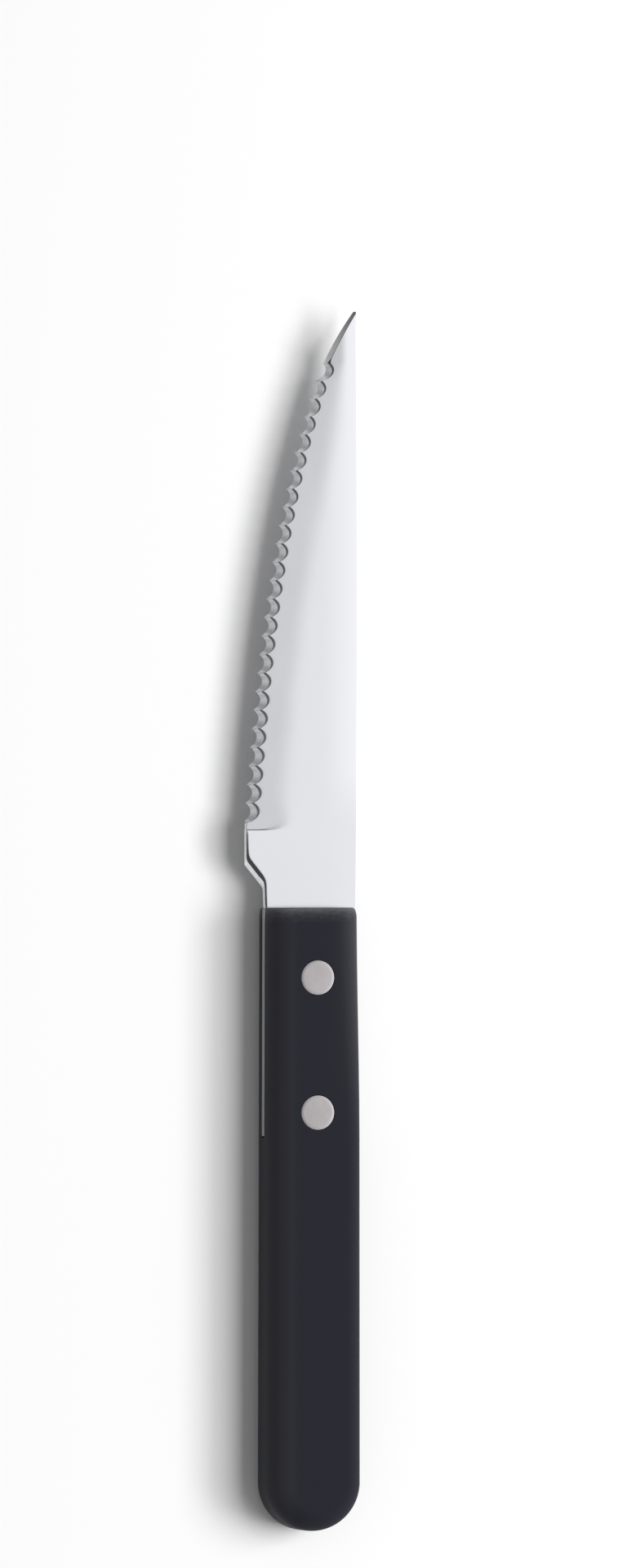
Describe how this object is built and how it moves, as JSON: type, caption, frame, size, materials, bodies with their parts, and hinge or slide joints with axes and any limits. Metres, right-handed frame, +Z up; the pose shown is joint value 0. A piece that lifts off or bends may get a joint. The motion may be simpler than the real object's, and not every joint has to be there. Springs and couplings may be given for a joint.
{
  "type": "steak knife",
  "caption": "Steak knife with a scalloped steel blade, a half tang and a riveted black handle with rounded edges.",
  "frame": {"origin": "on the surface that the knife lies on, under the middle of its length and width", "axes": "+Z up, away from the surface it lies on; +Y along the knife towards the tip; +X towards the spine, so the cutting edge faces -X"},
  "size_m": [0.0208, 0.2152, 0.011],
  "materials": {
    "blade_steel": "fine satin stainless sheet, ground brighter along the scallops",
    "handle_plastic": "smooth black moulded plastic with a soft sheen",
    "rivet_steel": "flush rivet heads, ground along the handle"
  },
  "bodies": {
    "root": {"blade": "blade_steel", "handle": "handle_plastic", "front_rivet_post": "rivet_steel", "front_rivet_socket": "rivet_steel", "rear_rivet_post": "rivet_steel", "rear_rivet_socket": "rivet_steel"}
  },
  "joints": []
}
